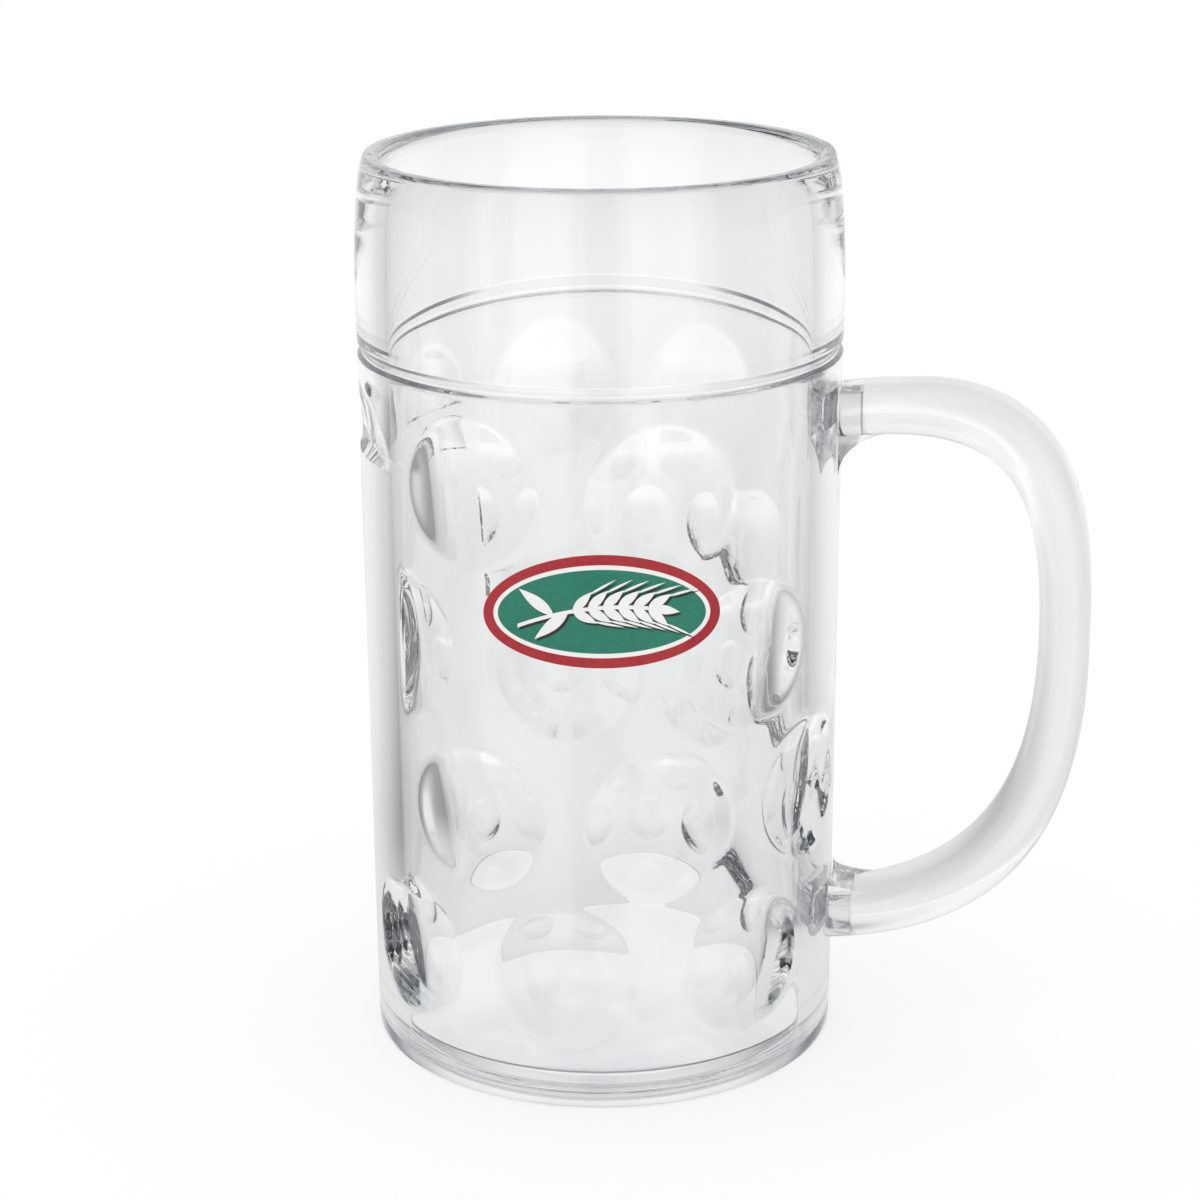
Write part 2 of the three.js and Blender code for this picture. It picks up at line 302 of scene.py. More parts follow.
class Nodes:
    """A material's or world's node tree, laid out link by link."""

    def __init__(self, tree: bpy.types.NodeTree) -> None:
        """Start from the tree of a new material or world."""
        self.tree = tree

    @classmethod
    def for_material(cls, name: str) -> tuple[bpy.types.Material, "Nodes", bpy.types.Node]:
        """Start a new material.

        Args:
            name: Name of the material.

        Returns:
            The material, its tree and its shader.
        """
        material = bpy.data.materials.new(name)
        material.use_nodes = True
        tree = material.node_tree
        return material, cls(tree), tree.nodes["Principled BSDF"]

    def add(self, kind: str, **settings: object) -> bpy.types.Node:
        """Add a node and set its own properties.

        Args:
            kind: Node type without its ShaderNode prefix.
            **settings: Property values of the node.

        Returns:
            The new node.
        """
        node = self.tree.nodes.new("ShaderNode" + kind)
        for key, value in settings.items():
            setattr(node, key, value)
        return node

    def feed(self, node: bpy.types.Node, socket: str | int, value: object) -> None:
        """Link an output into a socket, or set the socket to a plain value.

        Args:
            node: The node that is fed.
            socket: Name or number of its input.
            value: An output or a plain value.
        """
        if isinstance(value, Socket):
            self.tree.links.new(value, node.inputs[socket])
        else:
            node.inputs[socket].default_value = value

    def maths(self, operation: str, *values: object) -> Socket:
        """Work out one number from others.

        Args:
            operation: Blender's name for the operation.
            *values: Outputs or plain numbers.

        Returns:
            The result's socket.
        """
        node = self.add("Math", operation=operation)
        for index, value in enumerate(values):
            self.feed(node, index, value)
        return node.outputs[0]

    def span(self, value: Socket, start: Point, end: Point) -> Socket:
        """Map a value smoothly from one range to another.

        Args:
            value: The output that is read.
            start: Where its range starts and ends.
            end: The results there.

        Returns:
            The result's socket.
        """
        node = self.add("MapRange", interpolation_type="SMOOTHSTEP")
        for index, number in enumerate((value, *start, *end)):
            self.feed(node, index, number)
        return node.outputs[0]

    def blend(self, first: object, second: object, share: object) -> Socket:
        """Go from a first number to a second one by a share.

        Args:
            first: Result where the share is 0.
            second: Result where it is 1.
            share: How far to go.

        Returns:
            The result's socket.
        """
        mix = self.add("Mix", data_type="FLOAT")
        for socket, value in (("Factor", share), ("A", first), ("B", second)):
            self.feed(mix, socket, value)
        return mix.outputs[0]

    def colours(self, first: Socket | Colour, second: Colour, share: Socket) -> Socket:
        """Go from a first colour to a second one by a share.

        Args:
            first: Result where the share is 0.
            second: Result where it is 1.
            share: How far to go.

        Returns:
            The result's socket.
        """
        mix = self.add("Mix", data_type="RGBA")
        first = first if isinstance(first, Socket) else (*first, 1.0)
        for socket, value in ((0, share), (6, first), (7, (*second, 1.0))):
            self.feed(mix, socket, value)
        return mix.outputs[2]

    def place(self) -> Socket:
        """Read the piece's own coordinates."""
        return self.add("TexCoord").outputs["Object"]

    def axes(self, vector: Socket) -> bpy.types.Node:
        """Split a vector into its axes.

        Args:
            vector: The output that is split.

        Returns:
            The node that holds the axes.
        """
        node = self.add("SeparateXYZ")
        self.feed(node, 0, vector)
        return node

    def radius(self, axes: bpy.types.Node) -> Socket:
        """Measure how far split coordinates lie from the upright axis."""
        squares = [self.maths("MULTIPLY", axes.outputs[axis], axes.outputs[axis]) for axis in "XY"]
        return self.maths("SQRT", self.maths("ADD", *squares))

    def noise(self, scale: Sequence[float], detail: float) -> Socket:
        """Read soft noise in the piece's own coordinates.

        Args:
            scale: Features per metre along X, Y and Z.
            detail: Number of finer layers.

        Returns:
            The noise's value socket.
        """
        mapping = self.add("Mapping")
        self.feed(mapping, "Vector", self.place())
        self.feed(mapping, "Scale", scale)
        noise = self.add("TexNoise")
        self.feed(noise, "Vector", mapping.outputs["Vector"])
        self.feed(noise, "Scale", 1.0)
        self.feed(noise, "Detail", detail)
        return noise.outputs["Fac"]


@dataclass(frozen=True)
class PaintedEdgeShade:
    """A ring of painted shade: the plastic's colour is darkened where it is seen edge on and looks
    deeper, in millimetres.
    """

    heights: Point
    radii: Point
    soft: float
    # Colour of the painted shade
    tint: Colour
    sides: Point | None = None
    sides_turn: float = 11.0
    # How far the painted shade also stops light passing through
    cover: float = 0.0

    def share(self, nodes: Nodes, axes: bpy.types.Node) -> Socket:
        """Work out where the ring lies, from the axes of the piece's own coordinates.

        Args:
            nodes: The tree that is being laid out.
            axes: The node that holds the axes.

        Returns:
            1 in the ring and 0 away from it, as a socket.
        """
        shares = []
        limits = ((axes.outputs["Z"], self.heights), (nodes.radius(axes), self.radii))
        for place, (low, high) in limits:
            shares.append(nodes.span(place, ((low - self.soft) * MM, low * MM), FROM_NONE))
            shares.append(nodes.span(place, (high * MM, (high + self.soft) * MM), TO_NONE))
        if self.sides:
            turn = math.radians(self.sides_turn)
            across = nodes.maths("MULTIPLY", axes.outputs["X"], math.cos(turn))
            across = nodes.maths("MULTIPLY_ADD", axes.outputs["Y"], math.sin(turn), across)
            start, end = self.sides
            across = nodes.maths("ABSOLUTE", across)
            shares.append(nodes.span(across, (start * MM, end * MM), FROM_NONE))
        return reduce(lambda first, second: nodes.maths("MULTIPLY", first, second), shares)


@dataclass(frozen=True)
class ClearPlastic:
    """Clear moulded plastic with faint flow marks, a breath of haze and rings of painted shade."""

    name: str
    pale: Colour
    deep: Colour
    haze: Point
    flow_scale: tuple[float, float, float]
    flow_height: float
    ior: float = 1.57
    flow_detail: float = 2.0
    tint_range: Point = (0.35, 0.65)
    haze_range: Point = (0.3, 0.7)
    # Rings of painted shade: darker colour painted along the plastic's edges and lines
    edges: tuple[PaintedEdgeShade, ...] = ()

    def material(self) -> bpy.types.Material:
        """Build the finish as a material.

        Returns:
            The new material.
        """
        material, nodes, shader = Nodes.for_material(self.name)
        flow = nodes.noise(self.flow_scale, self.flow_detail)
        tint = nodes.colours(self.pale, self.deep, nodes.span(flow, self.tint_range, FROM_NONE))
        colour, clear = self.paint_edge_shade(nodes, tint)
        nodes.feed(shader, "Base Color", colour)
        nodes.feed(shader, "Roughness", nodes.span(flow, self.haze_range, self.haze))
        bump = nodes.add("Bump")
        nodes.feed(bump, "Strength", 1.0)
        nodes.feed(bump, "Distance", self.flow_height * MM)
        nodes.feed(bump, "Height", flow)
        nodes.feed(shader, "Normal", bump.outputs["Normal"])
        nodes.feed(shader, "Transmission Weight", clear)
        nodes.feed(shader, "IOR", self.ior)
        return material

    def paint_edge_shade(self, nodes: Nodes, colour: Socket) -> tuple[Socket, object]:
        """Paint shade into the colour along the edges.

        Args:
            nodes: The tree that is being laid out.
            colour: The colour away from the edges.

        Returns:
            The colour, and the share of the light that passes.
        """
        clear: object = 1.0
        axes = nodes.axes(nodes.place())
        for edge in self.edges:
            share = edge.share(nodes, axes)
            colour = nodes.colours(colour, edge.tint, share)
            if edge.cover:
                clear = nodes.maths("SUBTRACT", clear, nodes.maths("MULTIPLY", share, edge.cover))
        return colour, clear


@dataclass(frozen=True)
class PrintInk:
    """Opaque printing ink with a fine mottle."""

    name: str
    colour: Colour
    mottle: Colour
    roughness: float
    roughness_spread: float = 0.05
    grain_scale: float = 900.0
    grain_detail: float = 3.0
    tint_range: Point = (0.35, 0.7)
    roughness_range: Point = (0.3, 0.7)

    def material(self) -> bpy.types.Material:
        """Build the finish as a material.

        Returns:
            The new material.
        """
        material, nodes, shader = Nodes.for_material(self.name)
        grain = nodes.noise((self.grain_scale,) * 3, self.grain_detail)
        tint = nodes.span(grain, self.tint_range, FROM_NONE)
        nodes.feed(shader, "Base Color", nodes.colours(self.colour, self.mottle, tint))
        ends = (self.roughness - self.roughness_spread, self.roughness + self.roughness_spread)
        nodes.feed(shader, "Roughness", nodes.span(grain, self.roughness_range, ends))
        return material


# Painted shade for the groove's dark lines at the sides
GROOVE_PAINTED_SHADE = (0.19, 0.195, 0.21)
GROOVE_SIDES = (25.0, 42.0)
BARREL_PLASTIC = ClearPlastic(
    name="clear_barrel_plastic",
    pale=(0.992, 0.995, 0.996),
    deep=(0.982, 0.988, 0.990),
    haze=(0.0, 0.012),
    flow_scale=(18.0, 18.0, 7.0),
    flow_height=0.02,
    edges=(
        # Painted shade: a dark line along the lip's top, and dark, partly opaque lines along the
        # groove's flanks at the sides
        PaintedEdgeShade((199.7, 200.5), (40.0, BEYOND), 0.8, (0.5, 0.51, 0.53)),
        PaintedEdgeShade((157.1, 157.7), (51.0, BEYOND), 0.15, GROOVE_PAINTED_SHADE, GROOVE_SIDES, cover=0.65),
        PaintedEdgeShade((159.65, 160.2), (51.0, BEYOND), 0.2, GROOVE_PAINTED_SHADE, GROOVE_SIDES, cover=0.5),
    ),
)
BASE_PLASTIC = ClearPlastic(
    name="clear_base_plastic",
    pale=(0.990, 0.994, 0.995),
    deep=(0.978, 0.985, 0.988),
    haze=(0.0, 0.02),
    flow_scale=(25.0, 25.0, 25.0),
    flow_height=0.02,
    edges=(
        # Painted shade: dark lines along the flange's bottom edge and along its top
        PaintedEdgeShade((-1.0, 0.25), (51.7, BEYOND), 0.2, (0.55, 0.56, 0.58)),
        PaintedEdgeShade((3.45, 3.7), (51.7, BEYOND), 0.15, (0.6, 0.61, 0.63)),
    ),
)
HANDLE_PLASTIC = ClearPlastic(
    name="clear_handle_plastic",
    pale=(0.966, 0.969, 0.968),
    deep=(0.948, 0.953, 0.952),
    haze=(0.05, 0.11),
    flow_scale=(30.0, 60.0, 20.0),
    flow_height=0.05,
    # Painted shade: the web under the upper arm is darkened where it meets the barrel
    edges=(PaintedEdgeShade((120.0, 138.0), (50.0, 57.0), 1.4, (0.43, 0.44, 0.455)),),
)
BOND_FILM = ClearPlastic(
    name="cured_bond_film",
    pale=(0.985, 0.988, 0.988),
    deep=(0.965, 0.972, 0.972),
    haze=(0.0, 0.015),
    flow_scale=(140.0, 140.0, 140.0),
    flow_height=0.005,
    ior=1.56,
    # Painted shade: the upper bond pad is darkened where the handle meets the barrel
    edges=(PaintedEdgeShade((120.0, 150.0), (57.0, BEYOND), 1.0, (0.56, 0.57, 0.585)),),
)
INK_RED = PrintInk("print_ink_red", (0.38, 0.011, 0.018), (0.43, 0.015, 0.024), 0.4)
INK_WHITE = PrintInk("print_ink_white", (0.90, 0.90, 0.88), (0.85, 0.85, 0.83), 0.45)
INK_GREEN = PrintInk("print_ink_green", (0.008, 0.185, 0.118), (0.011, 0.21, 0.135), 0.4)
INK_DARK = PrintInk("print_ink_dark", (0.012, 0.016, 0.016), (0.018, 0.022, 0.022), 0.45)


def finish_piece(
    piece: Piece, finish: ClearPlastic | PrintInk, slot: Slot | None, *nodes: str
) -> None:
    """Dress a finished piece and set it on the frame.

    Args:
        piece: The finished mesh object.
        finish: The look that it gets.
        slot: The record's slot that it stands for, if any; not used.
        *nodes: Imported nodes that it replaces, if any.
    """
    piece.data.materials.clear()
    piece.data.materials.append(finish.material())
    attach(piece, BODY)
    if nodes:
        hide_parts(*nodes)
    LOG.info("%s: %d faces, %s", piece.name, len(piece.data.polygons), finish.name)


@dataclass
class Barrel:
    """The moulded wall with its lip, groove, dimples and handle pegs."""

    height: float = 200.0
    foot_radius: float = 52.3
    rim_radius: float = 53.0
    wall: float = 6.6
    foot: float = 4.0
    crown_height: float = 28.0
    crown_drop: float = 2.8
    lip_flat: float = 1.6
    lip_round: float = 2.6
    groove_height: float = 158.7
    groove_width: float = 3.6
    groove_flanks: Point = (0.9, 2.4)
    groove_depth: float = 1.0
    dimple_radius: float = 16.0
    dimple_depth: float = 3.5
    dimple_soft: float = 0.25
    dimple_tail: float = 1.5
    dimple_pitch: float = 45.0
    dimples_per_row: tuple[int, int] = (4, 3)
    rows: int = 4
    row_pitch: float = 35.5
    top_row: float = 136.0
    top_row_share: float = 0.8
    least_share: float = 0.0005
    pressed_skin: float = 1.0
    panel_half_width: float = 37.5
    panel_foot: float = 41.0
    panel_top: float = 137.0
    panel_edge: float = 1.0
    peg_size: Point = (11.4, 8.0)
    peg_corner: float = 2.0
    peg_length: float = 4.6
    peg_rooting: float = 3.0
    peg_heights: tuple[float, float] = (144.937, 28.607)
    turn_steps: int = 360
    wall_steps: int = 165
    groove_steps: int = 30
    band_steps: int = 8
    crown_steps: int = 32
    lip_steps: int = 12
    bore_steps: int = 24
    piece: Piece | None = field(default=None, init=False)

    def radius(self, z: float) -> float:
        """Radius of the plain tapered outside at a height."""
        return self.foot_radius + (self.rim_radius - self.foot_radius) * z / self.height

    def bore(self, z: float) -> float:
        """Radius of the smooth bore at a height."""
        return self.radius(z) - self.wall

    def outline(self) -> list[Point]:
        """Trace the wall: up the outside, over the lip and down the bore.

        Returns:
            Radius and height of each point.
        """
        crown_start = self.height - self.crown_height
        groove_low = self.groove_height - self.groove_width / 2
        groove_high = self.groove_height + self.groove_width / 2
        bore_top = self.height - self.lip_round
        lip_inner = self.radius(crown_start) - self.crown_drop - self.lip_flat
        lip_step = lip_inner - self.bore(bore_top)

        def plain(low: float, high: float) -> Callable[[float], Point]:
            """Run up the plain outside."""
            return lambda u: (self.radius(low + (high - low) * u), low + (high - low) * u)

        def groove(u: float) -> Point:
            """Run through the groove."""
            z = groove_low + self.groove_width * u
            lower, upper = self.groove_flanks
            rise, fall = smoothstep((z - groove_low) / lower), smoothstep((groove_high - z) / upper)
            return self.radius(z) - self.groove_depth * min(rise, fall), z

        def crown(u: float) -> Point:
            """Curve inwards below the lip."""
            angle = u * math.pi / 2
            drop = self.crown_drop * (1 - math.cos(angle))
            rise = self.crown_height * math.sin(angle)
            return self.radius(crown_start) - drop, crown_start + rise

        def rounding(u: float) -> Point:
            """Round the lip's inner edge."""
            angle = u * math.pi / 2
            drop = self.lip_round * (1 - math.cos(angle))
            return lip_inner - lip_step * math.sin(angle), self.height - drop

        def inside(u: float) -> Point:
            """Run down the bore."""
            z = bore_top + (self.foot - bore_top) * u
            return self.bore(z), z

        return [
            *along(self.wall_steps, plain(self.foot, groove_low)),
            *along(self.groove_steps, groove)[1:],
            *along(self.band_steps, plain(groove_high, crown_start))[1:],
            *along(self.crown_steps, crown)[1:],
            *along(self.lip_steps, rounding),
            *along(self.bore_steps, inside)[1:],
            (self.radius(self.foot), self.foot),
        ]

    def dimple_places(self) -> list[Point]:
        """List the places of the dimples.

        Returns:
            Turn from the front in degrees, and height, of each dimple.
        """
        places = []
        for row in range(self.rows):
            count = self.dimples_per_row[row % 2]
            turns = [(step - (count - 1) / 2) * self.dimple_pitch for step in range(count)]
            z = self.top_row - row * self.row_pitch
            # The top row stops short of the handle's root
            for turn in turns[:-1] if row == 0 else turns:
                places += [(turn, z), (180.0 - turn, z)]
        return places

    def panel_share(self, across: float, x: float, z: float) -> float:
        """Share of a dimple that the smooth print panel leaves out at a point.

        Args:
            across: Distance from the panel's middle line.
            x: Place along X; the panel is on the far side from the handle.
            z: Height.

        Returns:
            0 where the dimple is whole, 1 where the panel covers it.
        """
        if x > 0:
            return 0.0
        side = smoothstep((self.panel_half_width - abs(across)) / self.panel_edge + 0.5)
        low = smoothstep((z - self.panel_foot) / self.panel_edge + 0.5)
        return side * low * smoothstep((self.panel_top - z) / self.panel_edge + 0.5)

    def dimple_share(self, x: float, y: float, z: float, places: Iterable[Point]) -> float:
        """Depth of the dimples at a point of the outside, as a share of the full depth.

        Args:
            x: Place along X in millimetres.
            y: Place along Y in millimetres.
            z: Height in millimetres.
            places: Turn and height of each dimple.

        Returns:
            0 on the plain wall and about 1 at a dimple's middle.
        """
        turn = math.degrees(math.atan2(x, -y))
        wall = self.radius(z)
        soft = self.dimple_soft / self.dimple_depth
        deepest = 0.0
        for centre, level in places:
            rise = z - level
            around = math.radians((turn - centre + 180.0) % 360.0 - 180.0) * wall
            share = 1.0 - (around * around + rise * rise) / self.dimple_radius**2
            if share > -self.dimple_tail:
                depth = self.top_row_share if level == self.top_row else 1.0
                deepest = max(deepest, depth * (share + math.hypot(share, soft)) / 2)
        return deepest * (1.0 - self.panel_share(y, x, z))

    def press_dimples(self) -> None:
        """Paint the dimples' depth on the outside and push the wall in by it."""
        places = self.dimple_places()
        group = self.piece.vertex_groups.new(name="dimple_depth")
        for vertex in self.piece.data.vertices:
            x, y, z = (part / MM for part in vertex.co)
            if z > self.groove_height or math.hypot(x, y) < self.radius(z) - self.pressed_skin:
                continue
            share = self.dimple_share(x, y, z, places)
            if share > self.least_share:
                group.add([vertex.index], share, "REPLACE")
        depth = -self.dimple_depth * MM
        Bench.apply(
            self.piece, "DISPLACE", vertex_group=group.name, strength=depth, mid_level=0.0
        )
        self.piece.vertex_groups.clear()

    def build(self) -> None:
        """Model the barrel and dress it."""
        self.piece = Bench.turned("barrel_wall", self.outline(), self.turn_steps)
        self.press_dimples()
        for level in self.peg_heights:
            start = self.radius(level) - self.peg_rooting
            length = self.peg_rooting + self.peg_length
            peg = Bench.bar(self.peg_size, self.peg_corner, start, length, level)
            Bench.join(self.piece, peg, Join.UNION)
        Bench.smooth(self.piece)
        finish_piece(self.piece, BARREL_PLASTIC, Slot.BARREL, "barrel")


@dataclass
class Base:
    """The base disc that plugs the foot, and the bond ring between them."""

    flange: float = 52.31
    flange_thickness: float = 3.6
    spigot: float = 45.41
    floor: float = 6.5
    edge: float = 0.35
    edge_steps: int = 6
    bond_outer: float = 51.51
    bond_inner: float = 46.51
    bond_top: float = 4.0
    wetting: float = 0.02
    turn_steps: int = 256

    def rounded(self, centre: Point, start: float) -> list[Point]:
        """Round an outside corner by a quarter turn.

        Args:
            centre: Middle of the rounding.
            start: Where the quarter turn starts, in degrees.

        Returns:
            Radius and height of each point.
        """
        def point_at(share: float) -> Point:
            """Point at a share of the quarter turn."""
            angle = math.radians(start + 90.0 * share)
            return centre[0] + self.edge * math.cos(angle), centre[1] + self.edge * math.sin(angle)
        return along(self.edge_steps, point_at)

    def build_disc(self) -> None:
        """Model the flange and spigot in one turned piece."""
        edge = self.edge
        outline = [
            (0.0, 0.0),
            *self.rounded((self.flange - edge, edge), -90.0),
            (self.flange, self.flange_thickness),
            (self.spigot, self.flange_thickness),
            *self.rounded((self.spigot - edge, self.floor - edge), 0.0),
            (0.0, self.floor),
        ]
        disc = Bench.turned("base_plug", outline, self.turn_steps)
        Bench.smooth(disc)
        finish_piece(disc, BASE_PLASTIC, Slot.BASE, "base_disc")

    def build_bond(self) -> None:
        """Model the cured ring that wets the flange and the barrel's foot."""
        low = self.flange_thickness - self.wetting
        high = self.bond_top + self.wetting
        inner, outer = self.bond_inner, self.bond_outer
        outline = [(inner, low), (outer, low), (outer, high), (inner, high), (inner, low)]
        ring = Bench.turned("base_bond", outline, self.turn_steps)
        Bench.smooth(ring)
        finish_piece(ring, BOND_FILM, Slot.BOND, "base_bond_ring")

    def build(self) -> None:
        """Model and dress the disc and its bond."""
        self.build_disc()
        self.build_bond()


@dataclass
class Handle:
    """The D handle, saddled to the wall and socketed over the pegs, with its bond pads."""

    barrel: Barrel
    thickness: float = 11.0
    width: float = 18.0
    squareness: float = 2.6
    bend_swell: float = 1.8
    upper_arm_swell: float = 1.0
    upper_swell_end: float = 0.125
    upper_swell_power: int = 4
    lower_arm_swell: float = 0.7
    reach: float = 102.53
    grip_height: float = 95.05
    roots: tuple[float, float] = (144.5, 28.4)
    slopes: tuple[float, float] = (0.19, 0.09)
    arm_pulls: tuple[float, float] = (43.6, 41.0)
    grip_pull: float = 35.4
    fillets: tuple[Point, Point] = ((15.0, 10.0), (9.0, 2.5))
    fillet_width: float = 13.0
    fillet_steps: int = 24
    saddle_gap: float = 0.3
    saddle_steps: int = 256
    peg_clearance: float = 0.3
    bond_thickness: float = 0.4
    wetting: float = 0.02
    seam_height: float = 0.12
    seam_turn: float = 1.6
    section_points: int = 72
    path_steps: int = 60
    swell_samples: int = 2000
    piece: Piece | None = field(default=None, init=False)

    def section(self) -> Piece:
        """Draw the flattened-round section with its mould seams as a closed curve.

        Returns:
            The curve.
        """
        Bench.clear()
        bpy.ops.mesh.primitive_circle_add(vertices=self.section_points, radius=1.0)
        drawn = bpy.context.object
        power = 2.0 / self.squareness
        for vertex in drawn.data.vertices:
            angle = math.atan2(vertex.co.y, vertex.co.x)
            across, up = math.cos(angle), math.sin(angle)
            on_seam = abs(across) < math.sin(math.radians(self.seam_turn))
            half = self.thickness / 2 - (0.0 if on_seam else self.seam_height)
            vertex.co.x = math.copysign(abs(across) ** power * self.width / 2, across) * MM
            vertex.co.y = math.copysign(abs(up) ** power * half, up) * MM
        Bench.pick(drawn)
        bpy.ops.object.convert(target="CURVE")
        return drawn

    def stations(self) -> list[tuple[Point, Point, Point]]:
        """List the middle line's points from the upper root to the lower.

        Returns:
            The pull before, the point and the pull after, each as X and height.
        """
        rooting = self.barrel.peg_rooting
        arms = []
        for level, slope, pull in zip(self.roots, self.slopes, self.arm_pulls):
            start, lead = self.barrel.radius(level) - rooting, level - slope * rooting
            arms.append(((start, lead), (start + pull, lead + slope * pull)))
        (upper, upper_pull), (lower, lower_pull) = arms
        above = (self.reach, self.grip_height + self.grip_pull)
        below = (self.reach, self.grip_height - self.grip_pull)
        return [
            (upper, upper, upper_pull),
            (above, (self.reach, self.grip_height), below),
            (lower_pull, lower, lower),
        ]

    def sweep(self) -> Piece:
        """Sweep the section along the D's middle line.

        Returns:
            The closed handle, before its cuts.
        """
        section = self.section()
        Bench.clear()
        bpy.ops.curve.primitive_bezier_curve_add()
        handle = bpy.context.object
        handle.name = "handle_grip"
        curve = handle.data
        points = curve.splines[0].bezier_points
        points.add(1)
        for point, places in zip(points, self.stations()):
            point.handle_left_type = point.handle_right_type = "FREE"
            left, middle, right = (Vector((x * MM, 0.0, z * MM)) for x, z in places)
            point.co, point.handle_left, point.handle_right = middle, left, right
        middle_line = []
        for start, end in pairwise(points):
            pulls = (start.co, start.handle_right, end.handle_left, end.co)
            middle_line += interpolate_bezier(*pulls, self.swell_samples)[:-1]
        curve.dimensions = "3D"
        curve.twist_mode = "MINIMUM"
        curve.resolution_u = self.path_steps
        curve.bevel_mode = "OBJECT"
        curve.bevel_object = section
        curve.use_fill_caps = True
        Bench.pick(handle)
        bpy.ops.object.convert(target="MESH")
        bpy.data.objects.remove(section)
        self.swell(handle, middle_line)
        bpy.ops.object.mode_set(mode="EDIT")
        Bench.close()
        return handle

    def swell(self, handle: Piece, middle_line: list[Vector]) -> None:
        """Thicken the outside of the two bends and of both arms.

        Args:
            handle: The swept handle.
            middle_line: Close-set places along its middle line, from the upper root to the lower.
        """
        tree = KDTree(len(middle_line))
        for i, place in enumerate(middle_line):
            tree.insert(place, i)
        tree.balance()
        steps = ((b - a).length for a, b in pairwise(middle_line))
        travelled = list(accumulate(steps, initial=0.0))
        for vertex in handle.data.vertices:
            _, i, _ = tree.find((vertex.co.x, 0.0, vertex.co.z))
            i = min(max(i, 1), len(middle_line) - 2)
            ahead = (middle_line[i + 1] - middle_line[i - 1]).normalized()
            out = Vector((-ahead.z, 0.0, ahead.x))
            rise = (vertex.co - middle_line[i]).dot(out)
            if rise > 0.0:
                onset = min(1.0, travelled[i] / travelled[-1] / self.upper_swell_end)
                outbound = max(0.0, ahead.x) ** self.upper_swell_power * onset
                homeward = max(0.0, -ahead.x)
                amount = self.bend_swell * 2.0 * abs(ahead.x * ahead.z)
                amount += self.upper_arm_swell * outbound + self.lower_arm_swell * homeward
                vertex.co += out * rise * amount / (self.thickness / 2)

    def root_fillet(self, end: int, inward: float) -> Piece:
        """Model the web on the inner side of an arm where it lands on the barrel.

        Args:
            end: 0 for the upper arm, 1 for the lower.
            inward: -1 where the inner side faces down, 1 where it faces up.

        Returns:
            The closed web.
        """
        level = self.roots[end]
        length, rise = self.fillets[end]
        wall = self.barrel.radius(level)
        inner = wall - self.barrel.peg_rooting
        foot = level + inward * (self.thickness / 2 + rise) + self.slopes[end] * length

        def arc(u: float) -> Point:
            """Curve from the wall to the arm."""
            angle = u * math.pi / 2
            return wall + length - length * math.cos(angle), foot - inward * rise * math.sin(angle)

        curved = along(self.fillet_steps, arc)
        outline = [(inner, level), (inner, foot), *curved, (wall + length, level)]
        return Bench.slab(outline, UPRIGHT, self.fillet_width / 2)

    def build_grip(self) -> None:
        """Model the handle and dress it."""
        barrel, gap, clearance = self.barrel, self.saddle_gap, self.peg_clearance
        self.piece = self.sweep()
        for end, inward in enumerate((-1.0, 1.0)):
            Bench.join(self.piece, self.root_fillet(end, inward), Join.UNION)
        saddle = [
            (0.0, 0.0),
            (barrel.radius(0.0) + gap, 0.0),
            (barrel.radius(barrel.height) + gap, barrel.height),
            (0.0, barrel.height),
        ]
        envelope = Bench.turned("envelope", saddle, self.saddle_steps)
        Bench.join(self.piece, envelope, Join.DIFFERENCE)
        width, height = (side + 2 * clearance for side in barrel.peg_size)
        depth = barrel.peg_rooting + barrel.peg_length + self.bond_thickness
        for level in barrel.peg_heights:
            start = barrel.radius(level) - barrel.peg_rooting
            corner = barrel.peg_corner + clearance
            socket = Bench.bar((width, height), corner, start, depth, level)
            Bench.join(self.piece, socket, Join.DIFFERENCE)
        Bench.smooth(self.piece)
        finish_piece(self.piece, HANDLE_PLASTIC, Slot.HANDLE, "handle")

    def build_pads(self) -> None:
        """Model the cured pad between each peg and its socket."""
        barrel = self.barrel
        thickness = self.bond_thickness + 2 * self.wetting
        for name, level in zip(("upper", "lower"), barrel.peg_heights):
            start = barrel.radius(level) + barrel.peg_length - self.wetting
            pad = Bench.bar(barrel.peg_size, barrel.peg_corner, start, thickness, level)
            pad.name = f"{name}_bond_pad"
            Bench.smooth(pad)
            finish_piece(pad, BOND_FILM, Slot.BOND, f"{name}_peg_bond")

    def build(self) -> None:
        """Model and dress the handle and its pads."""
        self.build_grip()
        self.build_pads()


